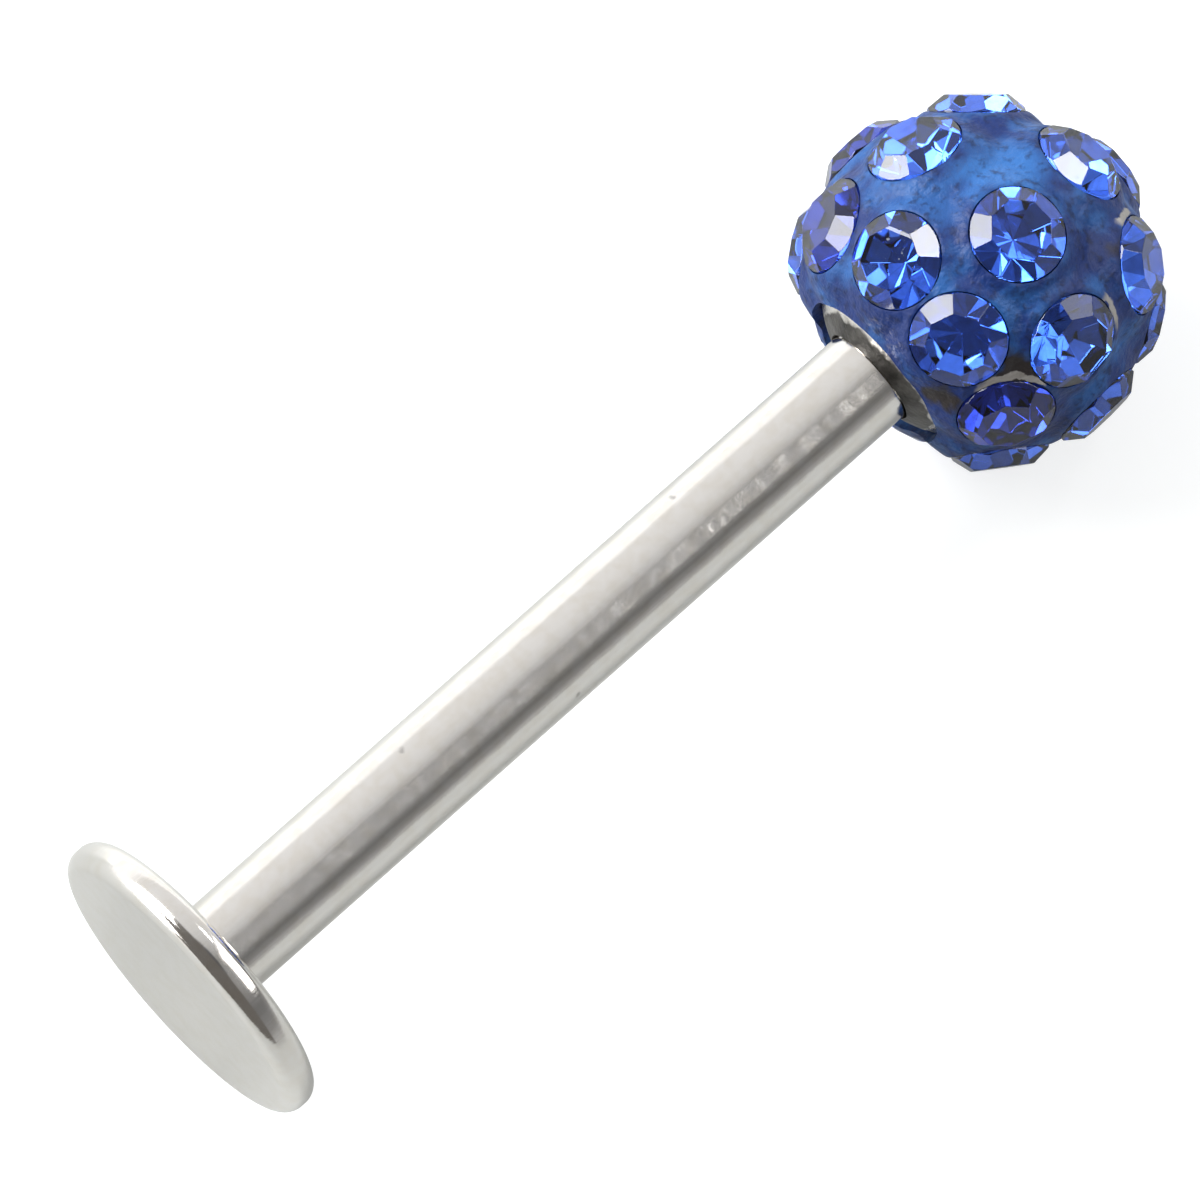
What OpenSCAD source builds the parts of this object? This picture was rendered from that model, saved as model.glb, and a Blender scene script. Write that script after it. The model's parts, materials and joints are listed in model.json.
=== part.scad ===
// Labret stud, lying as it rests by itself: a round back disc and its post in one
// piece of polished steel, and a screw ball set all over with small cut crystals.
// The stud runs along +X, disc at -X and ball at +X, on the plane z = 0.
// Each piece is drawn on the post's own axis, with z = 0 at the disc's back face
// and +x straight up, and place() then lays it down.

/* [Back disc] */
// Diameter of the disc over its rounded rim
disc_d = 3.9; // [3.4:0.02:5]
// Height of the rim band
disc_rim_h = 0.46; // [0.44:0.02:0.7]
// Rounding of the rim's back edge
disc_back_round = 0.2; // [0.1:0.01:0.22]
// Rounding of the rim's front edge
disc_front_round = 0.2; // [0.05:0.01:0.22]
// Rise of the shallow dome from the rim to the post
disc_dome_h = 0.15; // [0.1:0.01:0.6]
// Radius of the fillet between dome and post
disc_fillet = 0.07; // [0.03:0.01:0.15]

/* [Post] */
// Diameter of the post
post_d = 1.2; // [1:0.1:1.6]
// Bare length of the post, from the disc's dome to the ball
post_length = 10.25; // [5:0.05:16]
// Pitch of the screw thread
thread_pitch = 0.25; // [0.2:0.01:0.35]
// Depth of the screw thread
thread_depth = 0.14; // [0.08:0.01:0.18]
// Length of the thread inside the ball
thread_length = 2.2; // [1.4:0.05:2.4]
// Chamfer at the thread's free end
tip_chamfer = 0.16; // [0.05:0.01:0.2]

/* [Ball] */
// Diameter of the ball's bare metal, seen round the hole
metal_d = 3.62; // [3.4:0.02:4.4]
// Diameter of the bare metal face round the hole
mouth_d = 2.02; // [1.9:0.02:2.2]
// Thickness of that face at its rim
mouth_t = 0.26; // [0.2:0.02:0.4]
// Diameter of the threaded barrel behind the face
barrel_d = 1.88; // [1.76:0.02:1.9]
// Thickness of the barrel's closed end
barrel_end = 0.2; // [0.1:0.02:0.3]
// Free space past the thread's end
bore_spare = 0.1; // [0.05:0.01:0.2]
// Running gap between the thread and its bore
bore_gap = 0.02; // [0.01:0.005:0.05]
// Height of the resin between the crystals above the metal
resin_over = 0.04; // [0.02:0.01:0.08]
// Gap between the metal core and the resin
core_gap = 0.02; // [0.01:0.005:0.05]

/* [Crystals] */
// Diameter of a crystal at its girdle
stone_d = 1.14; // [0.9:0.02:1.16]
// Width of the table, flat to flat
table_w = 0.7; // [0.5:0.02:0.8]
// Height of the crown
crown_h = 0.19; // [0.12:0.01:0.26]
// Thickness of the girdle
girdle_t = 0.03; // [0.02:0.01:0.06]
// Depth of the pavilion
pavilion_h = 0.48; // [0.4:0.01:0.52]
// Height of the tables above the ball's bare metal
table_over = 0.35; // [0.3:0.01:0.5]
// Gap between a crystal and its seat
seat_gap = 0.012; // [0.005:0.001:0.015]
// Width of the resin collar's top round a crystal
collar_w = 0.03; // [0.02:0.01:0.06]
// Height of the resin collar above a crystal's lower girdle edge
collar_over = 0.02; // [0:0.01:0.03]
// Turn from straight down, in degrees, of the two crystals that the ball lies on
rest_turn = 23; // [20:0.5:24]

/* [Hidden] */
$fn = 96;

disc_r = disc_d / 2;
post_r = post_d / 2;
metal_r = metal_d / 2;
mouth_r = mouth_d / 2;
barrel_r = barrel_d / 2;
resin_r = metal_r + resin_over;
stone_r = stone_d / 2;
table_r = metal_r + table_over;         // from the ball's centre to each table
girdle_r = table_r - crown_h - girdle_t; // and to each lower girdle edge
facets = 8;                             // crown facets, one for each side of the table
girdle_n = 2 * facets;
apothem = table_w / 2;

// The dome is the cap of a large sphere that meets the rim and the post.
dome_edge = disc_r - disc_front_round;
neck_z = disc_rim_h + disc_dome_h;
dome_c = (neck_z * neck_z + post_r * post_r - disc_rim_h * disc_rim_h - dome_edge * dome_edge)
       / (2 * (neck_z - disc_rim_h));
dome_r = norm([dome_edge, disc_rim_h - dome_c]);

hole_r = post_r + bore_gap;
hole_z = neck_z + post_length;          // where the post enters the ball
ball_z = hole_z + sqrt(metal_r * metal_r - hole_r * hole_r);
tip_z = hole_z + thread_length;
bore_end_z = tip_z + bore_spare;
barrel_end_z = bore_end_z + barrel_end;
mouth_z = ball_z - sqrt(metal_r * metal_r - mouth_r * mouth_r);

// Lying at rest, the stud touches the plane with the disc's back rounding and with one
// table edge each of the two lowest crystals, so its axis leans by an angle, ball end up.
// Those crystals are tilted by the same small angle for the edges to lie flat.
function edge_tilt(l) = atan(tan(l) / cos(rest_turn));
function ball_height(l) =
  table_r * (cos(edge_tilt(l)) * cos(rest_turn) * cos(l) + sin(edge_tilt(l)) * sin(l))
  + apothem * sin(rest_turn) * cos(l);
rim_r = disc_r - disc_back_round;
rim_z = ball_z - disc_back_round;
function lean_at(h) = asin((h - disc_back_round) / norm([rim_z, rim_r])) - atan2(rim_r, rim_z);
lean = lean_at(ball_height(lean_at(ball_height(0))));
rest_h = ball_height(lean);
rest_polar = 90 - edge_tilt(lean);

// The crystals: angle from the hole's pole, turn round the post from straight up,
// and turn of the crystal in its own seat, in degrees.
POLAR = 0; TURN = 1; SPIN = 2;
crystals = [
  [60, 25.5, -9], [59.5, 66.5, 14], [57, 110.5, 5], [54.5, 168.5, 20],
  [56.5, 219.5, -14], [57.5, 263, 8], [60, 305.5, -4], [63, 346.5, 18],
  [98.4, 10.5, 2], [91, 52, 12], [92, 99, -6], [rest_polar, 180 - rest_turn, 0],
  [rest_polar, 180 + rest_turn, 0], [91, 240, -11], [91, 277, 6], [97, 317.5, -16],
  [142.6, 1.5, 9], [132.5, 61.5, -3], [128, 107, 13], [129, 154, -18],
  [127.5, 201.5, 4], [129.5, 249, -8], [129.5, 296.5, 15], [178, 90, 10]
];

function ry(a, p) = [p.x * cos(a) + p.z * sin(a), p.y, p.z * cos(a) - p.x * sin(a)];
function rz(a, p) = [p.x * cos(a) - p.y * sin(a), p.x * sin(a) + p.y * cos(a), p.z];
// A crystal's point as it lies, measured from the ball's centre
function lying(s, p) =
  ry(90 - lean, rz(180 + s[TURN], ry(180 - s[POLAR], rz(s[SPIN], p))));
function ring(n, r, z, phase) = [for (i = [0:n - 1])
  [r * cos((i + phase) * 360 / n), r * sin((i + phase) * 360 / n), z]];
// Height of the crown's flat facets above the lower girdle edge where they meet the
// girdle at angle a from a facet's middle
function crown_z(a) = girdle_t + crown_h * (stone_r - stone_r * cos(a)) / (stone_r - apothem);

table_pts = ring(facets, apothem / cos(180 / facets), girdle_t + crown_h, 0.5);
upper_pts = [for (i = [0:girdle_n - 1]) let (a = i * 360 / girdle_n)
  [stone_r * cos(a), stone_r * sin(a), crown_z(i % 2 == 0 ? 0 : 180 / facets)]];
lower_pts = ring(girdle_n, stone_r, 0, 0);
stone_pts = concat(table_pts, upper_pts, lower_pts, [[0, 0, -pavilion_h]]);

lying_pts = [for (s = crystals) for (p = table_pts) lying(s, p + [0, 0, girdle_r])];
x_low = (disc_back_round - ball_z) * cos(lean) - rim_r * sin(lean) - disc_back_round;
x_high = max([for (p = lying_pts) p.x]);
y_low = min([for (p = lying_pts) p.y]);
y_high = max([for (p = lying_pts) p.y]);

// Lays a piece drawn on the post's axis down on the plane, middle of its box at x = y = 0
module place() {
  translate([-(x_low + x_high) / 2, -(y_low + y_high) / 2, rest_h])
    rotate([0, 90 - lean, 0]) rotate([0, 0, 180]) translate([0, 0, -ball_z]) children();
}

// Seats a piece on the ball: its z axis out along the crystal's own axis, and z = 0 at
// the crystal's lower girdle edge
module seat(s) {
  translate([0, 0, ball_z]) rotate([0, 180 - s[POLAR], s[TURN]])
    translate([0, 0, girdle_r]) rotate(s[SPIN]) children();
}

// Half section of disc, post and thread, radius along x and height along y
module post_section() {
  square([rim_r, disc_rim_h]);
  translate([rim_r, disc_back_round]) circle(disc_back_round);
  translate([0, disc_back_round])
    square([disc_r, disc_rim_h - disc_front_round - disc_back_round]);
  translate([dome_edge, disc_rim_h - disc_front_round]) circle(disc_front_round);
  intersection() {
    translate([0, dome_c]) circle(dome_r);
    translate([0, disc_rim_h / 2]) square([dome_edge, neck_z]);
  }
  difference() {
    translate([0, neck_z - disc_fillet]) square([post_r + disc_fillet, 2 * disc_fillet]);
    translate([post_r + disc_fillet, neck_z + disc_fillet]) circle(disc_fillet);
  }
  translate([0, disc_rim_h]) square([post_r, hole_z - disc_rim_h]);
  thread_section();
}

// The thread's grooves, at their true pitch and depth
module thread_section() {
  turns = floor((thread_length - tip_chamfer) / thread_pitch);
  core = post_r - thread_depth;
  crest = thread_pitch / 8;
  rise = (thread_pitch - 2 * crest) / 2;
  polygon(concat(
    [[0, hole_z - 0.01], [post_r, hole_z - 0.01], [post_r, hole_z]],
    [for (i = [0:turns - 1]) let (z = hole_z + i * thread_pitch)
      each [[core, z + rise], [core, z + rise + crest],
            [post_r, z + 2 * rise + crest], [post_r, z + thread_pitch]]],
    [[core, tip_z - tip_chamfer / 2], [core - tip_chamfer / 2, tip_z], [0, tip_z]]));
}

module stud_post() {
  color([0.80, 0.79, 0.77]) place() rotate_extrude() post_section();
}

module ball_core() {
  color([0.62, 0.60, 0.58]) place() difference() {
    union() {
      intersection() {
        translate([0, 0, ball_z]) sphere(metal_r);
        translate([0, 0, mouth_z + mouth_t - metal_r]) cylinder(h = metal_r, r = mouth_r);
      }
      translate([0, 0, mouth_z]) cylinder(h = barrel_end_z - mouth_z, r = barrel_r);
    }
    translate([0, 0, ball_z - metal_r]) cylinder(h = bore_end_z - ball_z + metal_r, r = hole_r);
  }
}

// The resin's raised collar round one crystal, sloping into the ball; its foot ends inside
// the ball, so no hollow is left under it
module collar() {
  top = stone_r + seat_gap + collar_w;
  drop = girdle_r + collar_over - resin_r;
  hull() {
    translate([0, 0, collar_over - crown_h / 4]) cylinder(h = crown_h / 4, r = top, $fn = 2 * girdle_n);
    translate([0, 0, collar_over - 5 * drop])
      cylinder(h = 3.25 * drop, r = top + 2 * drop, $fn = 2 * girdle_n);
  }
}

// The space that one crystal and the gap round it take out of the resin
module pocket() {
  wide = stone_r + seat_gap;
  translate([0, 0, -pavilion_h - 2 * seat_gap])
    cylinder(h = pavilion_h + seat_gap, r1 = seat_gap, r2 = wide, $fn = girdle_n);
  translate([0, 0, -1.01 * seat_gap]) cylinder(h = table_r, r = wide, $fn = girdle_n);
}

module resin_shell() {
  color([0.16, 0.36, 0.66]) place() difference() {
    union() {
      translate([0, 0, ball_z]) sphere(resin_r, $fn = 48);
      for (s = crystals) seat(s) collar();
    }
    for (s = crystals) seat(s) pocket();
    translate([0, 0, ball_z - 2 * metal_r])
      cylinder(h = mouth_z + mouth_t + core_gap - ball_z + 2 * metal_r, r = mouth_r + core_gap, $fn = 64);
    translate([0, 0, mouth_z])
      cylinder(h = barrel_end_z + core_gap - mouth_z, r = barrel_r + core_gap, $fn = 64);
  }
}

module crystal(i) {
  low = facets + girdle_n;
  n = girdle_n;
  color([0.25, 0.42, 0.92]) place() seat(crystals[i]) polyhedron(points = stone_pts, faces = concat(
    [[for (k = [facets - 1:-1:0]) k]],
    // Crown: facet k lies between table corners k - 1 and k, over girdle points 2k - 1 to 2k + 1
    [for (k = [0:facets - 1]) [
      (k + facets - 1) % facets, k,
      facets + (2 * k + 1) % n, facets + 2 * k, facets + (2 * k + n - 1) % n]],
    [for (k = [0:n - 1]) [facets + k, facets + (k + 1) % n, low + (k + 1) % n, low + k]],
    [for (k = [0:n - 1]) [low + k, low + (k + 1) % n, low + n]]));
}

stud_post();
ball_core();
resin_shell();
crystal(0);  // crystal_01
crystal(1);  // crystal_02
crystal(2);  // crystal_03
crystal(3);  // crystal_04
crystal(4);  // crystal_05
crystal(5);  // crystal_06
crystal(6);  // crystal_07
crystal(7);  // crystal_08
crystal(8);  // crystal_09
crystal(9);  // crystal_10
crystal(10);  // crystal_11
crystal(11);  // crystal_12
crystal(12);  // crystal_13
crystal(13);  // crystal_14
crystal(14);  // crystal_15
crystal(15);  // crystal_16
crystal(16);  // crystal_17
crystal(17);  // crystal_18
crystal(18);  // crystal_19
crystal(19);  // crystal_20
crystal(20);  // crystal_21
crystal(21);  // crystal_22
crystal(22);  // crystal_23
crystal(23);  // crystal_24
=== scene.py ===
"""Looks of the labret stud: disc and post, the screw ball's core, its resin and its crystals.

Pieces are modelled in millimetres on the post's own axis, z = 0 at the disc's back face
and +x straight up at rest, and are then laid down in metres where the frame has them.
"""
import json
import math

import bpy
from bpy.props import FloatProperty, FloatVectorProperty, PointerProperty
from mathutils import Matrix, Vector

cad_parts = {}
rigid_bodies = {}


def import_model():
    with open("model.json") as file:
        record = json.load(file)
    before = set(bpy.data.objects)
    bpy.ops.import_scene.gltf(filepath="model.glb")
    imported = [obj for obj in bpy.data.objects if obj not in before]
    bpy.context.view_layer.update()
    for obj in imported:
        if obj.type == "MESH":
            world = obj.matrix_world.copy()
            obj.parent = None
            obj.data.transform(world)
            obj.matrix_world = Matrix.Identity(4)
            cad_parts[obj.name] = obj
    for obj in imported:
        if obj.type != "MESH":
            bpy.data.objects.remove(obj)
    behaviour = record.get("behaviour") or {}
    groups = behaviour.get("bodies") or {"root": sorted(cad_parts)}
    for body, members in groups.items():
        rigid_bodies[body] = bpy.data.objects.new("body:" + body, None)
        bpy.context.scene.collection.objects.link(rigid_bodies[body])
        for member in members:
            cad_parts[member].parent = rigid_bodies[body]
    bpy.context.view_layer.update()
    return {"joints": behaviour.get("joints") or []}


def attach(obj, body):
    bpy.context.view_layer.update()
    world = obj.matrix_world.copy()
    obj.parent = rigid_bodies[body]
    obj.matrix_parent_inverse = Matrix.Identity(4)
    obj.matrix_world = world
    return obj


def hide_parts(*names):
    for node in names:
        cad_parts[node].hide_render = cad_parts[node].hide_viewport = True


for start_up in list(bpy.data.objects):  # Blender's own cube, lamp and camera
    bpy.data.objects.remove(start_up)
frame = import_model()

bl_info = {
    "name": "Labret stud",
    "version": (1, 0, 0),
    "blender": (4, 5, 0),
    "location": "View3D > Sidebar > Labret stud",
    "description": "Models a labret stud with a crystal ball around its CAD frame",
    "category": "Add Mesh",
}

MM = 0.001
TURN_JOINT = next(j for j in frame["joints"] if j["name"] == "ball_turn")
AXIS = Vector(TURN_JOINT["axis"])
CENTRE = Vector(TURN_JOINT["pos_m"])

# Angle from the hole's pole, turn round the post from straight up and turn of the
# crystal in its own seat, in degrees. The record's nodes crystal_01 on, in order.
SEATS = [
    (60, 25.5, -9), (59.5, 66.5, 14), (57, 110.5, 5), (54.5, 168.5, 20),
    (56.5, 219.5, -14), (57.5, 263, 8), (60, 305.5, -4), (63, 346.5, 18),
    (98.4, 10.5, 2), (91, 52, 12), (92, 99, -6), (89.1175, 157, 0),
    (89.1175, 203, 0), (91, 240, -11), (91, 277, 6), (97, 317.5, -16),
    (142.6, 1.5, 9), (132.5, 61.5, -3), (128, 107, 13), (129, 154, -18),
    (127.5, 201.5, 4), (129.5, 249, -8), (129.5, 296.5, 15), (178, 90, 10),
]
DARK = (2, 7, 15, 21)  # the crystals of a darker melt
TOGETHER = 2e-4  # corners nearer than this, in millimetres, are one


def length(name, description, millimetres):
    """A size property, kept in metres."""
    return FloatProperty(
        name=name, description=description, default=millimetres * MM,
        min=0.0, unit="LENGTH", precision=5,
    )


def colour(name, description, rgb):
    return FloatVectorProperty(
        name=name, description=description, default=rgb,
        min=0.0, max=1.0, size=3, subtype="COLOR",
    )


class LabretPostSizes(bpy.types.PropertyGroup):
    """Sizes of the disc, the post and its thread."""
    disc_diameter: length("Disc", "Diameter of the disc over its rounded rim", 3.9)
    rim_height: length("Rim height", "Height of the rim band", 0.46)
    back_round: length("Back rounding", "Rounding of the rim's back edge", 0.2)
    front_round: length("Front rounding", "Rounding of the rim's front edge", 0.2)
    dome_rise: length("Dome", "Rise of the dome from the rim to the post", 0.15)
    fillet: length("Fillet", "Radius between the dome and the post", 0.07)
    post_diameter: length("Post", "Diameter of the post", 1.2)
    post_length: length("Post length", "Bare length from the dome to the ball", 10.25)
    thread_pitch: length("Pitch", "Pitch of the screw thread", 0.25)
    thread_depth: length("Thread depth", "Depth of the screw thread", 0.14)
    thread_length: length("Thread length", "Length of the thread in the ball", 2.2)
    tip_chamfer: length("Tip chamfer", "Chamfer at the thread's free end", 0.16)


class LabretBallSizes(bpy.types.PropertyGroup):
    """Sizes of the ball's steel core and resin."""
    metal_diameter: length("Bare metal", "Diameter of the bare metal round the hole", 3.62)
    mouth_diameter: length("Face", "Diameter of the metal face round the hole", 2.02)
    mouth_thickness: length("Face thickness", "Thickness of the metal face", 0.26)
    barrel_diameter: length("Barrel", "Diameter of the threaded barrel", 1.88)
    barrel_end: length("Barrel end", "Thickness of the barrel's closed end", 0.2)
    bore_spare: length("Bore spare", "Free space past the thread's end", 0.1)
    bore_gap: length("Bore gap", "Gap between the thread and its bore", 0.02)
    resin_over: length("Resin", "Height of the resin over the metal", 0.04)
    resin_fill: length("Resin fill", "Extra height of the flowed resin", 0.045)
    core_gap: length("Core gap", "Gap between the core and the resin", 0.02)
    collar_width: length("Collar", "Width of the resin's collar round a crystal", 0.045)
    collar_over: length("Collar rise", "Height of a collar over the girdle's edge", 0.03)


class LabretCrystalSizes(bpy.types.PropertyGroup):
    """Sizes of one cut crystal and its seat."""
    diameter: length("Crystal", "Diameter at the girdle", 1.14)
    table_width: length("Table", "Width of the table, flat to flat", 0.7)
    crown_height: length("Crown", "Height of the crown", 0.19)
    girdle: length("Girdle", "Thickness of the girdle", 0.03)
    pavilion_depth: length("Pavilion", "Depth of the pavilion", 0.48)
    table_over: length("Table over metal", "Height of the tables over the metal", 0.35)
    seat_gap: length("Seat gap", "Gap between a crystal and its seat", 0.014)
    worn_edge: length("Worn edges", "Width of the facets' worn edges", 0.005)


class LabretColours(bpy.types.PropertyGroup):
    """Colours of the finishes."""
    steel: colour("Steel", "Polished steel", (0.80, 0.775, 0.745))
    core: colour("Core", "The ball's duller steel", (0.72, 0.69, 0.65))
    resin: colour("Resin", "The blue resin", (0.005, 0.023, 0.130))
    # Also the colour of the resin's painted highlight.
    thin_resin_and_highlight: colour("Thin resin", "The resin where it is thin", (0.028, 0.145, 0.430))
    crystal: colour("Crystal", "The crystals' glass", (0.10, 0.25, 1.0))
    dark_crystal: colour("Dark crystal", "The darkest crystals' glass", (0.035, 0.07, 0.50))
    foil: colour("Foil", "The foil behind the crystals", (0.72, 0.82, 1.0))
    floor: colour("Floor", "The pale floor", (0.475, 0.49, 0.485))


def mm(metres):
    return metres / MM


# --- modelling helpers -------------------------------------------------------

def deselect():
    if bpy.context.object and bpy.context.object.mode != "OBJECT":
        bpy.ops.object.mode_set(mode="OBJECT")
    bpy.ops.object.select_all(action="DESELECT")


def only(piece):
    """Selects this piece alone and makes it the active one."""
    deselect()
    piece.select_set(True)
    bpy.context.view_layer.objects.active = piece


def apply_modifier(piece, kind, **settings):
    only(piece)
    modifier = piece.modifiers.new(kind.title(), kind)
    for key, value in settings.items():
        setattr(modifier, key, value)
    bpy.ops.object.modifier_apply(modifier=modifier.name)


def join(pieces):
    only(pieces[0])
    for piece in pieces[1:]:
        piece.select_set(True)
    bpy.ops.object.join()
    return pieces[0]


def arc(middle_r, middle_z, radius, start, end, steps):
    """Points (z, r) on an arc of a half section, its angles from +r towards +z."""
    points = []
    for i in range(steps + 1):
        a = math.radians(start + (end - start) * i / steps)
        points.append((middle_z + radius * math.sin(a), middle_r + radius * math.cos(a)))
    return points


def turned(name, section, sides):
    """A turned solid: a round face drawn out along the section's points (z, r)."""
    deselect()
    (z, r), rest = section[0], section[1:]
    bpy.ops.mesh.primitive_circle_add(
        vertices=sides, radius=r, fill_type="NGON", location=(0, 0, z))
    piece = bpy.context.object
    piece.name = piece.data.name = name
    bpy.ops.object.transform_apply(location=True, rotation=True, scale=True)
    bpy.ops.object.mode_set(mode="EDIT")
    bpy.ops.mesh.select_mode(type="FACE")
    bpy.ops.mesh.select_all(action="SELECT")
    for next_z, next_r in rest:
        bpy.ops.mesh.extrude_region_move(
            TRANSFORM_OT_translate={"value": (0, 0, next_z - z)})
        k = next_r / r
        bpy.ops.transform.resize(value=(k, k, 1), center_override=(0, 0, next_z))
        z, r = next_z, next_r
    bpy.ops.mesh.select_all(action="SELECT")
    bpy.ops.mesh.normals_make_consistent(inside=False)
    bpy.ops.object.mode_set(mode="OBJECT")
    return piece


def lay_down(ball_z):
    """From millimetres on the post's axis to metres in the frame, at rest."""
    up, side = Vector((-AXIS.z, 0, AXIS.x)), Vector((0, -1, 0))
    turn = Matrix((up, side, AXIS)).transposed().to_4x4()
    return (Matrix.Translation(CENTRE) @ turn @ Matrix.Scale(MM, 4)
            @ Matrix.Translation((0, 0, -ball_z)))


def seat(polar, turn, spin, ball_z, girdle_r):
    """Where a crystal sits, its z axis outwards, in millimetres on the post's axis."""
    return (Matrix.Translation((0, 0, ball_z))
            @ Matrix.Rotation(math.radians(turn), 4, "Z")
            @ Matrix.Rotation(math.radians(180 - polar), 4, "Y")
            @ Matrix.Translation((0, 0, girdle_r))
            @ Matrix.Rotation(math.radians(spin), 4, "Z"))


def place(piece, matrix):
    """Moves a piece and puts its place in its mesh."""
    piece.matrix_world = matrix
    only(piece)
    bpy.ops.object.transform_apply(location=True, rotation=True, scale=True)


def clean(piece):
    """Merges corners that a cut left together, and takes out those of two edges only."""
    only(piece)
    bpy.ops.object.mode_set(mode="EDIT")
    bpy.ops.mesh.select_mode(type="VERT")
    bpy.ops.mesh.select_all(action="SELECT")
    bpy.ops.mesh.remove_doubles(threshold=TOGETHER)
    bpy.ops.mesh.select_all(action="DESELECT")
    bpy.ops.object.mode_set(mode="OBJECT")
    edges_at = [0] * len(piece.data.vertices)
    for edge in piece.data.edges:
        for index in edge.vertices:
            edges_at[index] += 1
    for vertex, count in zip(piece.data.vertices, edges_at):
        vertex.select = count == 2
    bpy.ops.object.mode_set(mode="EDIT")
    bpy.ops.mesh.dissolve_verts()
    bpy.ops.object.mode_set(mode="OBJECT")


def smooth(piece, degrees):
    only(piece)
    bpy.ops.object.shade_smooth_by_angle(angle=math.radians(degrees))


class Layout:
    """The stud's levels and radii in millimetres, worked out once from its sizes."""

    def __init__(self, scene):
        post, ball, stone = scene.labret_post, scene.labret_ball, scene.labret_crystal
        self.disc_r = mm(post.disc_diameter) / 2
        self.post_r = mm(post.post_diameter) / 2
        self.metal_r = mm(ball.metal_diameter) / 2
        self.hole_r = self.post_r + mm(ball.bore_gap)
        self.neck_z = mm(post.rim_height + post.dome_rise)
        self.hole_z = self.neck_z + mm(post.post_length)
        self.ball_z = self.hole_z + math.sqrt(self.metal_r ** 2 - self.hole_r ** 2)
        self.tip_z = self.hole_z + mm(post.thread_length)
        self.bore_end_z = self.tip_z + mm(ball.bore_spare)
        self.barrel_end_z = self.bore_end_z + mm(ball.barrel_end)
        self.mouth_r = mm(ball.mouth_diameter) / 2
        self.mouth_z = self.ball_z - math.sqrt(self.metal_r ** 2 - self.mouth_r ** 2)
        self.barrel_r = mm(ball.barrel_diameter) / 2
        self.resin_r = self.metal_r + mm(ball.resin_over)
        self.stone_r = mm(stone.diameter) / 2
        self.girdle_r = self.metal_r + mm(
            stone.table_over - stone.crown_height - stone.girdle)

    def seat(self, place_of):
        return seat(*place_of, self.ball_z, self.girdle_r)

    def on_post(self, height, turn):
        """The point on the post's surface there, in the frame, in millimetres."""
        a = math.radians(turn)
        point = Vector((self.post_r * math.cos(a), self.post_r * math.sin(a), height))
        return tuple(lay_down(self.ball_z) @ point / MM)

    def on_ball(self, polar, turn):
        """The point on the ball there, in the frame, in millimetres."""
        return tuple(lay_down(self.ball_z) @ self.seat((polar, turn, 0)).translation / MM)

    def between(self, *numbers):
        """The point on the resin between these crystals, in the frame, in millimetres."""
        middle = Vector((0, 0, self.ball_z))
        out = sum((self.seat(SEATS[n - 1]).translation - middle for n in numbers), Vector())
        point = lay_down(self.ball_z) @ (middle + out.normalized() * self.girdle_r)
        return tuple(point / MM)


# --- shader helpers ----------------------------------------------------------

class Wire:
    """A shader socket; Python's own operators on it add Math nodes."""

    def __init__(self, graph, socket):
        self.graph, self.socket = graph, socket

    def maths(self, operation, *values):
        return self.graph.node(
            "ShaderNodeMath", {"operation": operation}, dict(enumerate(values)))

    def __add__(self, other):
        return self.maths("ADD", self, other)

    def __sub__(self, other):
        return self.maths("SUBTRACT", self, other)

    def __rsub__(self, other):
        return self.maths("SUBTRACT", other, self)

    def __mul__(self, other):
        return self.maths("MULTIPLY", self, other)

    def __truediv__(self, other):
        return self.maths("DIVIDE", self, other)

    __radd__ = __add__
    __rmul__ = __mul__

    def step(self, low, high):
        """0 at low and 1 at high, smoothly between them; low may be the larger."""
        return self.graph.node(
            "ShaderNodeMapRange", {"interpolation_type": "SMOOTHSTEP"},
            {"Value": self, "From Min": low, "From Max": high})


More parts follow.
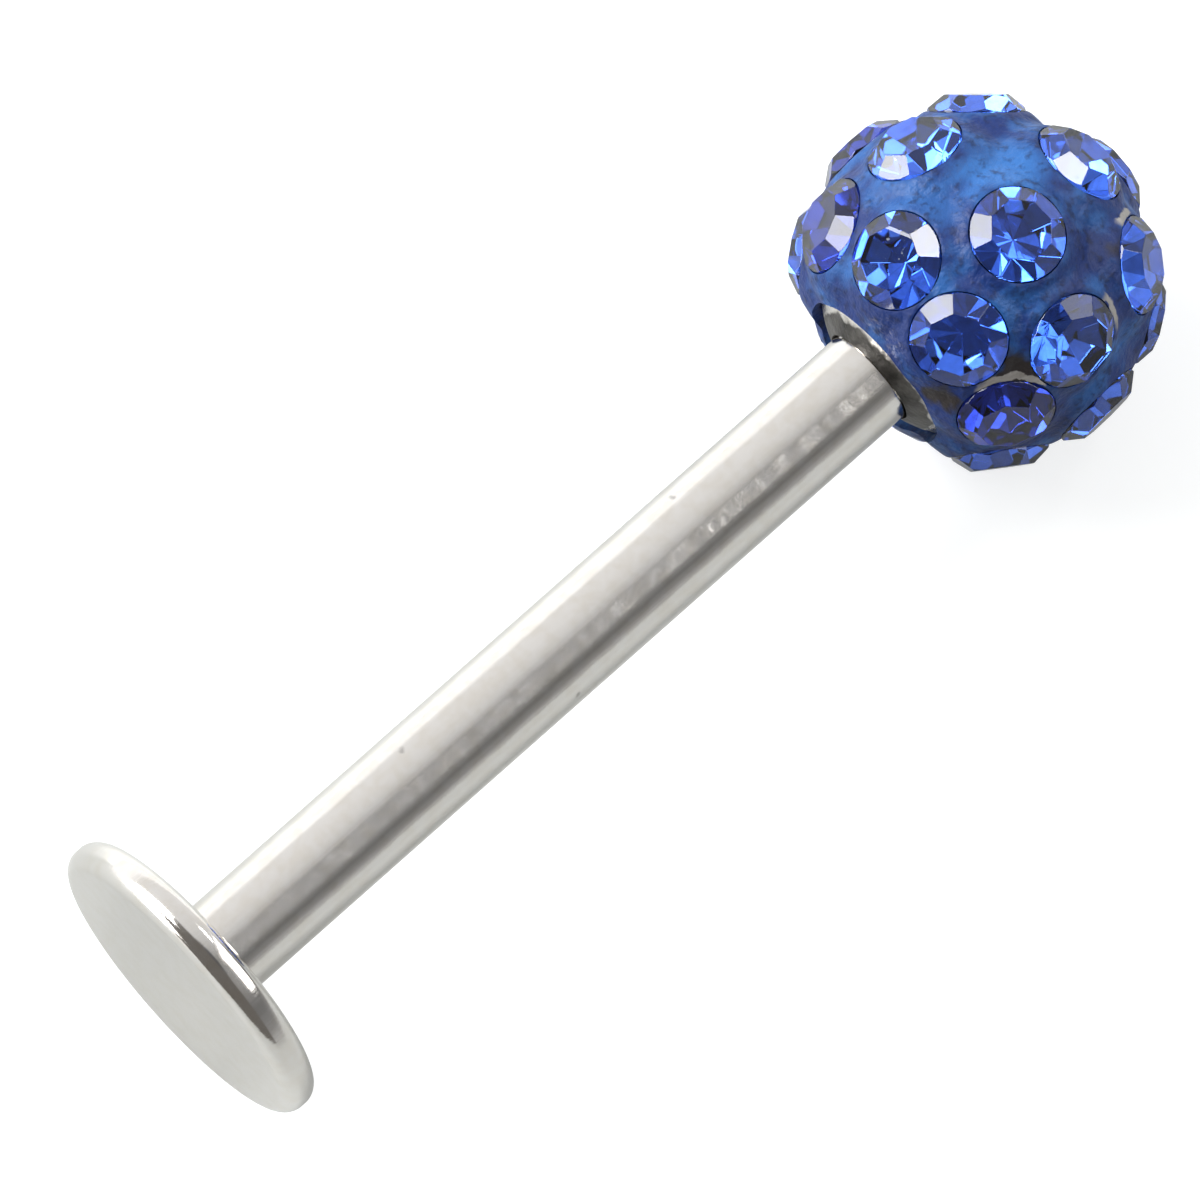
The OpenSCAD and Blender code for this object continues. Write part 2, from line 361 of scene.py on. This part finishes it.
class Graph:
    """Builds one node tree."""

    def __init__(self, tree):
        self.tree = tree
        tree.nodes.clear()

    def node(self, kind, settings=None, values=None, out=0):
        """Adds a node, sets it up, sets or links its sockets, and gives its output."""
        node = self.tree.nodes.new(kind)
        for key, value in (settings or {}).items():
            if key == "stops":
                ramp = node.color_ramp
                while len(ramp.elements) < len(value):
                    ramp.elements.new(0.5)
                for element, (position, _) in zip(ramp.elements, value):
                    element.position = position
                for element, (_, rgb) in zip(ramp.elements, value):
                    element.color = (*rgb, 1.0)
            else:
                setattr(node, key, value)
        for key, value in (values or {}).items():
            if isinstance(value, Wire):
                self.tree.links.new(value.socket, node.inputs[key])
            elif isinstance(value, tuple) and len(value) == 3 and (
                    node.inputs[key].type == "RGBA"):
                node.inputs[key].default_value = (*value, 1.0)
            else:
                node.inputs[key].default_value = value
        return Wire(self, node.outputs[out]) if len(node.outputs) else None

    def here(self, scale=(1.0, 1.0, 1.0)):
        """Object coordinates in millimetres, stretched by scale."""
        place_of = self.node("ShaderNodeTexCoord", out="Object")
        return self.node(
            "ShaderNodeVectorMath", {"operation": "MULTIPLY"},
            {0: place_of, 1: tuple(s / MM for s in scale)})

    def noise(self, where, scale, detail=2.0, roughness=0.5):
        return self.node(
            "ShaderNodeTexNoise", None,
            {"Vector": where, "Scale": scale, "Detail": detail, "Roughness": roughness})

    def mix(self, amount, first, second, blend="MIX"):
        return self.node(
            "ShaderNodeMix", {"data_type": "RGBA", "blend_type": blend},
            {0: amount, 6: first, 7: second}, out=2)

    def near(self, where, point, radius, soft):
        """1 inside radius of a point, fading to 0 over soft, in millimetres."""
        distance = self.node(
            "ShaderNodeVectorMath", {"operation": "DISTANCE"}, {0: where, 1: point},
            out="Value")
        return distance.step(radius + soft, radius)

    def unsteady(self, where, scale, amount):
        """The place shifted about, so that what is drawn at it gets ragged edges."""
        shift = self.node("ShaderNodeTexNoise", None, {
            "Vector": where, "Scale": scale, "Detail": 3.0}, out="Color")
        half = amount / 2  # the noise lies around a half
        start = self.node("ShaderNodeVectorMath", {"operation": "SUBTRACT"}, {
            0: where, 1: (half, half, half)})
        return self.node("ShaderNodeVectorMath", {"operation": "MULTIPLY_ADD"}, {
            0: shift, 1: (amount, amount, amount), 2: start})

    def bump(self, height, depth, strength=1.0):
        return self.node(
            "ShaderNodeBump", None,
            {"Height": height, "Distance": depth * MM, "Strength": strength})

    def surface(self, shader):
        self.node("ShaderNodeOutputMaterial", None, {"Surface": shader})


def material(name, draw):
    made = bpy.data.materials.new(name)
    made.use_nodes = True
    draw(Graph(made.node_tree))
    return made


def paint_steel(g, base, roughness, pits):
    """Polished steel: faint drawing lines, soft waves and a few small pits, with painted shade
    in the pits.
    """
    where = g.here()
    waves = g.noise(where, 1.3, 2.0)
    mottle = g.noise(where, 5.0, 4.0)
    lines = g.noise(g.here((0.25, 9.0, 9.0)), 2.2, 3.0)
    grain = g.noise(where, 26.0, 3.0)
    ragged = g.unsteady(where, 9.0, 0.10)
    pit = 0.0
    for point in pits:
        pit = g.near(ragged, point, 0.012, 0.050) + pit
    tone = g.mix(mottle.step(0.35, 0.7), base,
                 (base[0] * 0.96, base[1] * 0.945, base[2] * 0.915))
    # Painted shade: the pits' colour is darkened towards 0.42 of the steel's.
    tone = g.mix(pit * 0.7, tone, tuple(0.42 * c for c in base))
    height = grain * 0.06 + lines * 0.16 + mottle * 0.20 + waves * 1.8 - pit * 0.10
    shader = g.node("ShaderNodeBsdfPrincipled", None, {
        "Base Color": tone,
        "Metallic": 1.0,
        "Roughness": roughness + grain * 0.06 + pit * 0.1,
        "Normal": g.bump(height, 0.006, 1.0),
    })
    g.surface(shader)


def paint_core(g, base, edge_r):
    """Steel round the hole: painted shade darkens it round the post, mottled, with a bare
    brighter edge in the steel's own colour against the resin.
    """
    where = g.here()
    stain_and_shade = g.noise(where, 2.6, 4.0)
    grain = g.noise(where, 18.0, 3.0)
    arm = g.node("ShaderNodeVectorMath", {"operation": "SUBTRACT"},
                 {0: where, 1: tuple(CENTRE / MM)})
    out = g.node("ShaderNodeVectorMath", {"operation": "LENGTH"}, {
        0: g.node("ShaderNodeVectorMath", {"operation": "CROSS_PRODUCT"},
                  {0: arm, 1: tuple(AXIS)})}, out="Value")
    bare = (out + (stain_and_shade - 0.5) * 0.35).step(edge_r - 0.15, edge_r - 0.10)
    # Painted shade: the face and bore round the post are darkened to a mottled 0.06 to 0.20 of
    # the steel's colour.
    tone = g.mix(stain_and_shade.step(0.35, 0.65), tuple(0.20 * c for c in base),
                 tuple(0.06 * c for c in base))
    tone = g.mix(bare, tone, base)
    shader = g.node("ShaderNodeBsdfPrincipled", None, {
        "Base Color": tone,
        "Metallic": 1.0,
        "Roughness": 0.42 - bare * 0.2 + stain_and_shade * 0.1,
        "Normal": g.bump(grain * 0.5 + stain_and_shade, 0.02, 1.0),
    })
    g.surface(shader)


def paint_resin(g, deep, thin, at):
    """Dark blue resin, lighter where it is thin, with a painted highlight on the ball's upper
    side and grey where the metal is bare.
    """
    where = g.here()
    cloud = g.noise(where, 1.7, 4.0)
    grain = g.noise(where, 8.0, 4.0)
    ragged = g.unsteady(where, 2.4, 0.55)

    def patch(point, radius, soft):
        return g.near(ragged, point, radius, soft)

    def ridge(number, numbers, radius):
        """A thin arc beside one crystal, on its side towards these."""
        away = g.node("ShaderNodeVectorMath", {"operation": "DISTANCE"}, {
            0: where, 1: at.between(number)}, out="Value") + (grain - 0.5) * 0.12
        inner, outer = away.step(0.585, 0.60), away.step(0.685, 0.66)
        return inner * outer * patch(at.between(*numbers), radius, 0.12)

    # Painted highlight: lighter pools of the thin resin's colour on the ball's upper side,
    # round crystals 8, 9, 16 and 17.
    light = patch(at.between(9, 16, 17), 0.20, 0.50) * 0.85
    light = light + patch(at.between(8, 9, 16), 0.12, 0.35) * 0.45
    black = patch(at.between(1, 2, 10), 0.26, 0.12) + patch(at.on_ball(43, 46), 0.14, 0.12)
    black = black + patch(at.between(10, 17, 18), 0.06, 0.16) * 0.7
    grey = ridge(2, (1, 2, 10), 0.36) + ridge(18, (17, 18), 0.20) + ridge(10, (10, 18), 0.18)
    tone = g.mix(cloud.step(0.42, 0.66) * 0.55, deep, thin)
    tone = g.mix(light, tone, thin)
    tone = g.mix(grain.step(0.50, 0.72) * 0.7, tone, tuple(0.3 * c for c in deep))
    tone = g.mix(black, tone, (0.020, 0.016, 0.016))  # near-black patches in the gaps between some crystals
    tone = g.mix(grey, tone, (0.42, 0.40, 0.38))  # bare metal
    shader = g.node("ShaderNodeBsdfPrincipled", None, {
        "Base Color": tone,
        "Metallic": grey * 0.9,
        "Roughness": 0.34 + grain * 0.25,
        "Specular IOR Level": 0.32,
        "Normal": g.bump(grain * 0.7 + cloud, 0.05, 1.0),
    })
    g.surface(shader)


def paint_crystal(g, tint):
    """Clear blue glass; faint surface wear in its roughness."""
    where = g.here()
    wear = g.noise(where, 14.0, 3.0)
    shader = g.node("ShaderNodeBsdfPrincipled", None, {
        "Base Color": tint,
        "Roughness": wear.step(0.58, 0.8) * 0.06,
        "IOR": 1.58,
        "Transmission Weight": 1.0,
    })
    g.surface(shader)


def paint_foil(g, base):
    """The mirror foil behind a crystal, a little uneven."""
    where = g.here()
    uneven = g.noise(where, 5.0, 2.0)
    tone = g.mix(uneven.step(0.4, 0.7), base, tuple(0.8 * c for c in base))
    shader = g.node("ShaderNodeBsdfPrincipled", None, {
        "Base Color": tone,
        "Metallic": 1.0,
        "Roughness": 0.03 + uneven * 0.04,
    })
    g.surface(shader)


def paint_floor(g, base):
    """Matt paper, with painted light on the stud's far side and painted shade on its near one.
    """
    where = g.here()
    fibre = g.noise(where, 3.0, 4.0)
    along = g.node("ShaderNodeSeparateXYZ", None, {0: where}, out="X")
    across = g.node("ShaderNodeSeparateXYZ", None, {0: where}, out="Y")
    # Painted light: the floor's far side (+y) is made up to 1.7 times lighter.
    tone = g.mix(across.step(1.0, 8.0) * along.step(-8.0, -3.0), base,
                 tuple(1.7 * c for c in base))
    # Painted shade: the floor's near side (-y) is made 0.85 times as light.
    tone = g.mix(across.step(-1.0, -9.0), tone, tuple(0.85 * c for c in base))
    tone = g.mix(fibre * 0.08, tone, tuple(0.96 * c for c in base))
    matt = g.node("ShaderNodeBsdfPrincipled", None, {
        "Base Color": tone, "Roughness": 0.9})
    seen = g.node("ShaderNodeLightPath", out="Is Camera Ray")
    bright = g.node("ShaderNodeEmission", None, {
        "Color": (1.0, 1.0, 1.0), "Strength": seen * 0.62})
    g.surface(g.node("ShaderNodeAddShader", None, {0: matt, 1: bright}))


# --- pieces ------------------------------------------------------------------

class LABRET_OT_post(bpy.types.Operator):
    """Turn the disc and the post, and cut the screw thread on its end"""
    bl_idname = "labret.post"
    bl_label = "Disc and post"
    sides = 128
    # Small pits in the post: height over the disc's back in mm, degrees from straight up
    pits = [(8.11, -36.6), (8.20, 21.4), (8.34, 26.2), (5.75, 73.4), (3.74, -20.9),
            (6.9, 150.0), (2.6, -140.0), (9.3, -115.0)]
    run_out = 12  # steps over which the thread's ridge sinks into the core

    def section(self, sizes, at):
        """The turned half section, from the disc's back face to the post's tip."""
        rim, back, front = mm(sizes.rim_height), mm(sizes.back_round), mm(sizes.front_round)
        fillet = mm(sizes.fillet)
        dome_edge = at.disc_r - front
        dome_c = ((at.neck_z ** 2 + at.post_r ** 2 - rim ** 2 - dome_edge ** 2)
                  / (2 * (at.neck_z - rim)))
        dome_r = math.hypot(dome_edge, rim - dome_c)
        # Rings close to a rounding keep the flat beside it flat in the shading
        points = [(0.0, 0.25 * at.disc_r), (0.0, 0.6 * at.disc_r),
                  (0.0, at.disc_r - back - 0.06), (0.0, at.disc_r - back - 0.01)]
        points += arc(at.disc_r - back, back, back, -90, 0, 9)
        points += arc(dome_edge, rim - front, front, 0, 84, 12)
        fillet_r = at.post_r + fillet
        for i in range(1, 15):
            r = dome_edge + (fillet_r + 0.01 - dome_edge) * i / 14
            points.append((dome_c + math.sqrt(dome_r ** 2 - r * r), r))
        points += arc(fillet_r, at.neck_z + 0.8 * fillet, fillet, 250, 180, 7)
        points += [(at.neck_z + fillet + 0.02, at.post_r), (at.neck_z + 2.4, at.post_r),
                   (at.hole_z - 2.4, at.post_r), (at.hole_z - 0.1, at.post_r),
                   (at.hole_z, at.post_r)]
        core = at.post_r - mm(sizes.thread_depth)
        chamfer = mm(sizes.tip_chamfer) / 2
        points += [(at.hole_z + 0.09, core), (at.hole_z + 0.13, core),
                   (at.tip_z - chamfer - 0.04, core), (at.tip_z - chamfer, core)]
        points += [(at.tip_z - 0.3 * chamfer, core - 0.5 * chamfer),
                   (at.tip_z, core - chamfer), (at.tip_z, 0.5 * core)]
        return points

    def thread(self, sizes, at):
        """The thread's ridge: its section wound up the post's end."""
        pitch, core = mm(sizes.thread_pitch), at.post_r - mm(sizes.thread_depth)
        crest, steps = pitch / 8, 48
        turns = math.floor((at.tip_z - at.hole_z - mm(sizes.tip_chamfer)) / pitch)
        deselect()
        bpy.ops.mesh.primitive_plane_add(size=1, rotation=(math.pi / 2, 0, 0))
        ridge = bpy.context.object
        bpy.ops.object.transform_apply(location=True, rotation=True, scale=True)
        inner, outer = core - 0.03, at.post_r - 0.004
        half = {False: (pitch - crest) / 2 + 0.02, True: crest / 2}  # by whether it is out
        for vertex in ridge.data.vertices:
            out = vertex.co.x > 0
            vertex.co = (outer if out else inner, 0,
                         math.copysign(half[out], vertex.co.z) + at.hole_z - pitch / 2)
        bpy.ops.object.mode_set(mode="EDIT")
        bpy.ops.mesh.select_all(action="SELECT")
        bpy.ops.mesh.delete(type="ONLY_FACE")
        bpy.ops.object.mode_set(mode="OBJECT")
        apply_modifier(ridge, "SCREW", axis="Z", screw_offset=pitch, iterations=turns + 1,
                       steps=steps, render_steps=steps, use_merge_vertices=False)
        last = list(ridge.data.vertices)[-4 * self.run_out:]
        for i, vertex in enumerate(last):
            late = i // 4 / (self.run_out - 1)
            r = math.hypot(vertex.co.x, vertex.co.y)
            if r > core:
                k = (r + (core - 0.01 - r) * late) / r
                vertex.co.x *= k
                vertex.co.y *= k
        bpy.ops.object.mode_set(mode="EDIT")
        bpy.ops.mesh.select_mode(type="EDGE")
        bpy.ops.mesh.select_all(action="DESELECT")
        bpy.ops.mesh.select_non_manifold()
        bpy.ops.mesh.edge_face_add()
        bpy.ops.mesh.select_all(action="SELECT")
        bpy.ops.mesh.normals_make_consistent(inside=False)
        bpy.ops.object.mode_set(mode="OBJECT")
        return ridge

    def execute(self, context):
        scene, at = context.scene, Layout(context.scene)
        post = turned("steel_post", self.section(scene.labret_post, at), self.sides)
        ridge = self.thread(scene.labret_post, at)
        apply_modifier(post, "BOOLEAN", operation="UNION", solver="EXACT", object=ridge)
        bpy.data.objects.remove(ridge)
        clean(post)
        smooth(post, 32)
        place(post, lay_down(at.ball_z))
        colours = scene.labret_colours
        post.data.materials.append(material(
            "polished_steel", lambda g: paint_steel(
                g, tuple(colours.steel), 0.10, [at.on_post(*pit) for pit in self.pits])))
        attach(post, "post")
        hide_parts("stud_post")
        return {"FINISHED"}


class LABRET_OT_core(bpy.types.Operator):
    """Turn the ball's steel core with its bore"""
    bl_idname = "labret.core"
    bl_label = "Ball core"

    def execute(self, context):
        scene, at = context.scene, Layout(context.scene)
        ball = scene.labret_ball
        face_end = at.mouth_z + mm(ball.mouth_thickness)
        start = -math.degrees(math.acos(at.mouth_r / at.metal_r))
        end = -math.degrees(math.acos(at.hole_r / at.metal_r))
        points = [(at.barrel_end_z, 0.5 * at.barrel_r), (at.barrel_end_z, at.barrel_r - 0.04),
                  (at.barrel_end_z - 0.04, at.barrel_r), (face_end, at.barrel_r),
                  (face_end, at.mouth_r), (at.mouth_z + 0.03, at.mouth_r)]
        points += arc(0.0, at.ball_z, at.metal_r, start, end + 0.4, 9)
        points += [(at.hole_z + 0.03, at.hole_r), (at.hole_z + 0.3, at.hole_r),
                   (at.bore_end_z, at.hole_r), (at.bore_end_z, 0.5 * at.hole_r)]
        core = turned("steel_core", points, 96)
        smooth(core, 32)
        place(core, lay_down(at.ball_z))
        colours = scene.labret_colours
        core.data.materials.append(material(
            "core_steel", lambda g: paint_core(g, tuple(colours.core), at.mouth_r)))
        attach(core, "core")
        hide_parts("ball_core")
        return {"FINISHED"}


class LABRET_OT_resin(bpy.types.Operator):
    """Flow the resin round the crystals and cut their pockets"""
    bl_idname = "labret.resin"
    bl_label = "Resin"

    def body(self, ball, at):
        """The ball with a sloping collar round each crystal, flowed together."""
        deselect()
        bpy.ops.mesh.primitive_ico_sphere_add(
            subdivisions=5, radius=at.resin_r + mm(ball.resin_fill), location=(0, 0, at.ball_z))
        parts = [bpy.context.object]
        top = at.stone_r + mm(ball.collar_width)
        over = mm(ball.collar_over)
        drop = at.girdle_r + over - at.resin_r
        for place_of in SEATS:
            bpy.ops.mesh.primitive_cone_add(
                vertices=48, radius1=top + 2 * drop, radius2=top, depth=2 * drop)
            collar = bpy.context.object
            place(collar, at.seat(place_of) @ Matrix.Translation((0, 0, over - drop)))
            parts.append(collar)
        resin = join(parts)
        resin.name = resin.data.name = "blue_resin"
        place(resin, resin.matrix_world)
        apply_modifier(resin, "REMESH", mode="VOXEL", voxel_size=0.037)
        apply_modifier(resin, "SMOOTH", factor=0.5, iterations=18)
        return resin

    def cutter(self, scene, at):
        """What the crystals and the core take out of the resin."""
        ball, stone = scene.labret_ball, scene.labret_crystal
        gap, core_gap = mm(stone.seat_gap), mm(ball.core_gap)
        wide, deep = at.stone_r + gap, mm(stone.pavilion_depth)
        face_end = at.mouth_z + mm(ball.mouth_thickness) + core_gap
        cutter = turned("cutter", [
            (at.ball_z - 2 * at.metal_r, at.mouth_r + core_gap),
            (face_end, at.mouth_r + core_gap), (face_end, at.barrel_r + core_gap),
            (at.barrel_end_z + core_gap, at.barrel_r + core_gap)], 64)
        pocket = turned("pocket", [
            (-deep - 2 * gap, gap), (-gap, wide), (0.6, wide + 0.03)], 48)
        for place_of in SEATS:
            copy = pocket.copy()
            copy.data = pocket.data.copy()
            bpy.context.collection.objects.link(copy)
            place(copy, at.seat(place_of))
            apply_modifier(cutter, "BOOLEAN", operation="UNION", solver="EXACT", object=copy)
            bpy.data.objects.remove(copy)
        bpy.data.objects.remove(pocket)
        return cutter

    def execute(self, context):
        scene, at = context.scene, Layout(context.scene)
        resin = self.body(scene.labret_ball, at)
        cutter = self.cutter(scene, at)
        apply_modifier(
            resin, "BOOLEAN", operation="DIFFERENCE", solver="EXACT", object=cutter)
        bpy.data.objects.remove(cutter)
        clean(resin)
        smooth(resin, 40)
        place(resin, lay_down(at.ball_z))
        colours = scene.labret_colours
        resin.data.materials.clear()
        resin.data.materials.append(material(
            "blue_resin", lambda g: paint_resin(
                g, tuple(colours.resin), tuple(colours.thin_resin_and_highlight), at)))
        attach(resin, "ball")
        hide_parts("resin_shell")
        return {"FINISHED"}


class LABRET_OT_crystals(bpy.types.Operator):
    """Cut one crystal facet by facet, and set a copy of it in each seat"""
    bl_idname = "labret.crystals"
    bl_label = "Crystals"

    def cut(self, stone, at):
        """One crystal: a round blank cut by a flat plane for each facet."""
        crown, girdle = mm(stone.crown_height), mm(stone.girdle)
        deep, apothem = mm(stone.pavilion_depth), mm(stone.table_width) / 2
        deselect()
        height = crown + girdle + deep
        bpy.ops.mesh.primitive_cylinder_add(
            vertices=64, radius=at.stone_r, depth=height,
            location=(0, 0, height / 2 - deep))
        blank = bpy.context.object
        bpy.ops.object.transform_apply(location=True, rotation=True, scale=True)
        bpy.ops.object.mode_set(mode="EDIT")
        waist = at.stone_r - 0.025
        for k in range(8):
            a = k * math.pi / 4
            for point, normal in (
                    ((at.stone_r, girdle), (crown, at.stone_r - apothem)),
                    ((waist, 0.0), (deep, -waist))):
                bpy.ops.mesh.select_all(action="SELECT")
                bpy.ops.mesh.bisect(
                    plane_co=(point[0] * math.cos(a), point[0] * math.sin(a), point[1]),
                    plane_no=(normal[0] * math.cos(a), normal[0] * math.sin(a), normal[1]),
                    use_fill=True, clear_outer=True, threshold=1e-5)
        bpy.ops.mesh.select_all(action="SELECT")
        bpy.ops.mesh.remove_doubles(threshold=1e-4)
        bpy.ops.mesh.normals_make_consistent(inside=False)
        bpy.ops.object.mode_set(mode="OBJECT")
        apply_modifier(blank, "BEVEL", width=mm(stone.worn_edge), segments=1,
                       limit_method="ANGLE", angle_limit=math.radians(12))
        return blank

    def execute(self, context):
        scene, at = context.scene, Layout(context.scene)
        colours = scene.labret_colours
        blank = self.cut(scene.labret_crystal, at)
        glass = material("blue_crystal", lambda g: paint_crystal(g, tuple(colours.crystal)))
        dark_glass = material(
            "dark_crystal", lambda g: paint_crystal(g, tuple(colours.dark_crystal)))
        foil = material("crystal_foil", lambda g: paint_foil(g, tuple(colours.foil)))
        blank.data.materials.append(glass)
        blank.data.materials.append(foil)
        for face in blank.data.polygons:
            face.material_index = 1 if face.normal.z < -0.1 else 0
        for number, place_of in enumerate(SEATS, 1):
            crystal = blank.copy()
            crystal.data = blank.data.copy()
            crystal.name = crystal.data.name = f"cut_crystal_{number:02d}"
            bpy.context.collection.objects.link(crystal)
            place(crystal, lay_down(at.ball_z) @ at.seat(place_of))
            if number in DARK:
                crystal.data.materials[0] = dark_glass
            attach(crystal, "ball")
            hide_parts(f"crystal_{number:02d}")
        bpy.data.objects.remove(blank)
        return {"FINISHED"}


class LABRET_OT_stage(bpy.types.Operator):
    """Lay the pale floor, light the studio and set up the camera"""
    bl_idname = "labret.stage"
    bl_label = "Stage"

    # The studio's brightness round the post's axis: degrees from straight up towards
    # the near side, and the brightness there.
    ROUND = [
        (-180, 0.9), (-122, 1.0), (-106, 1.35), (-72, 1.35), (-62, 0.93), (-30, 0.86),
        (-10, 0.76), (4, 0.60), (15, 0.34), (38, 0.33), (52, 0.24), (62, 0.17),
        (78, 0.28), (92, 0.55), (128, 0.8), (180, 0.9),
    ]

    lamp_distance = 0.4  # metres
    camera_distance = 0.6
    field = 13.81  # millimetres across the picture
    # The middle of the picture from the ball's centre, along the post and across it
    aim = (-5.676, -0.130)
    # The picture's own right, along the post and across it
    rightwards = (0.74908, 0.66248)

    def floor(self, colours):
        deselect()
        bpy.ops.mesh.primitive_plane_add(size=4.0)
        floor = bpy.context.object
        floor.name = floor.data.name = "pale_floor"
        floor.data.materials.append(material(
            "pale_paper", lambda g: paint_floor(g, tuple(colours.floor))))

    def studio(self, scene):
        """The room: bright walls, a dim gap round the camera and a dark end by the disc."""
        world = bpy.data.worlds.new("studio")
        world.use_nodes = True
        scene.world = world
        g = Graph(world.node_tree)
        toward = g.node("ShaderNodeTexCoord", out="Generated")
        split = self.split(g, toward)
        around = g.node("ShaderNodeMath", {"operation": "ARCTAN2"},
                        {0: split[1] * -1.0, 1: split[2]})
        fraction = around / (2 * math.pi) + 0.5
        stops = [((a + 180) / 360, (v, v, v)) for a, v in self.ROUND]
        ring = g.node("ShaderNodeValToRGB", {"stops": stops}, {0: fraction})
        lens = g.node("ShaderNodeVectorMath", {"operation": "DOT_PRODUCT"},
                      {0: toward, 1: self.back()}, out="Value")
        ring = g.mix(lens.step(0.93, 0.985), ring, (0.10, 0.10, 0.11))
        near = around.step(math.radians(-66), math.radians(-40)) * around.step(
            math.radians(112), math.radians(84))
        room = g.mix((split[0] * -1.0).step(0.02, 0.2) * near, ring, (0.16, 0.15, 0.14))
        seen = g.node("ShaderNodeLightPath", out="Is Camera Ray")
        light = g.node("ShaderNodeBackground", None, {"Color": room, "Strength": 1.0})
        white = g.node("ShaderNodeBackground", None, {
            "Color": (1.0, 1.0, 1.0), "Strength": 1.0})
        both = g.node("ShaderNodeMixShader", None, {0: seen, 1: light, 2: white})
        g.node("ShaderNodeOutputWorld", None, {"Surface": both})

    @staticmethod
    def split(g, vector):
        node = g.node("ShaderNodeSeparateXYZ", None, {0: vector}).socket.node
        return [Wire(g, socket) for socket in node.outputs]

    @staticmethod
    def back():
        """From the stud to the camera."""
        a, e = math.radians(-44.84), math.radians(71.42)
        return Vector((math.sin(a) * math.cos(e), -math.cos(a) * math.cos(e), math.sin(e)))

    def softbox(self, name, toward, wide, tall, radiance):
        """A soft lamp that far round the stud: its angles across and along in degrees."""
        distance = self.lamp_distance
        width = 2 * distance * math.tan(math.radians(wide / 2))
        height = 2 * distance * math.tan(math.radians(tall / 2))
        toward = Vector(toward).normalized()
        deselect()
        bpy.ops.object.light_add(type="AREA", location=CENTRE + toward * distance)
        lamp = bpy.context.object
        lamp.name = lamp.data.name = name
        lamp.data.shape = "RECTANGLE"
        lamp.data.size, lamp.data.size_y = width, height
        lamp.data.energy = radiance * math.pi * width * height
        across = Vector((1, 0, 0)) - toward * toward.x
        across.normalize()
        along = toward.cross(across)
        lamp.matrix_world = (Matrix.Translation(CENTRE + toward * distance)
                             @ Matrix((across, along, toward)).transposed().to_4x4())
        lamp.visible_camera = False

    def camera(self, scene):
        """A long lens from far away, at the photo's angle."""
        back = self.back()
        along = (AXIS - back * AXIS.dot(back)).normalized()
        across = along.cross(back)
        c, s = self.rightwards
        right, up = c * along + s * across, s * along - c * across
        place_of = (CENTRE + along * (self.aim[0] * MM) + across * (self.aim[1] * MM)
                    + back * self.camera_distance)
        deselect()
        bpy.ops.object.camera_add(location=place_of)
        camera = bpy.context.object
        camera.matrix_world = (Matrix.Translation(place_of)
                               @ Matrix((right, up, back)).transposed().to_4x4())
        sensor = 36.0
        camera.data.sensor_width = sensor
        camera.data.lens = sensor * self.camera_distance / (self.field * MM)
        camera.data.clip_start = 0.01
        scene.camera = camera

    def execute(self, context):
        scene = context.scene
        self.floor(scene.labret_colours)
        self.studio(scene)
        self.softbox("left_softbox", (-0.35, 0.66, 0.66), 30, 34, 12.0)
        self.softbox("low_left_softbox", (-0.80, 0.50, 0.32), 30, 22, 6.0)
        self.softbox("right_softbox", (0.64, -0.395, 0.66), 50, 34, 3.0)
        self.softbox("small_lamp", (0.54, 0.04, 0.84), 7, 7, 16.0)
        self.camera(scene)
        scene.view_settings.view_transform = "Standard"
        scene.view_settings.look = "None"
        return {"FINISHED"}


class LABRET_PT_stud(bpy.types.Panel):
    """Lists the stud's sizes, colours and making steps"""
    bl_idname = "LABRET_PT_stud"
    bl_label = "Labret stud"
    bl_space_type = "VIEW_3D"
    bl_region_type = "UI"
    bl_category = "Labret stud"

    def draw(self, context):
        for step in STEPS:
            self.layout.operator(step.bl_idname)
        for name, group in GROUPS.items():
            box = self.layout.box()
            box.label(text=group.__doc__)
            for key in group.__annotations__:
                box.prop(getattr(context.scene, name), key)


STEPS = (LABRET_OT_post, LABRET_OT_core, LABRET_OT_resin, LABRET_OT_crystals,
         LABRET_OT_stage)
GROUPS = {
    "labret_post": LabretPostSizes,
    "labret_ball": LabretBallSizes,
    "labret_crystal": LabretCrystalSizes,
    "labret_colours": LabretColours,
}


def register():
    for made in (*GROUPS.values(), *STEPS, LABRET_PT_stud):
        bpy.utils.register_class(made)
    for name, group in GROUPS.items():
        setattr(bpy.types.Scene, name, PointerProperty(type=group))


def unregister():
    for name in GROUPS:
        delattr(bpy.types.Scene, name)
    for made in (LABRET_PT_stud, *STEPS, *GROUPS.values()):
        bpy.utils.unregister_class(made)


def main():
    register()
    bpy.ops.labret.post()
    bpy.ops.labret.core()
    bpy.ops.labret.resin()
    bpy.ops.labret.crystals()
    bpy.ops.labret.stage()


if __name__ == "__main__":
    main()
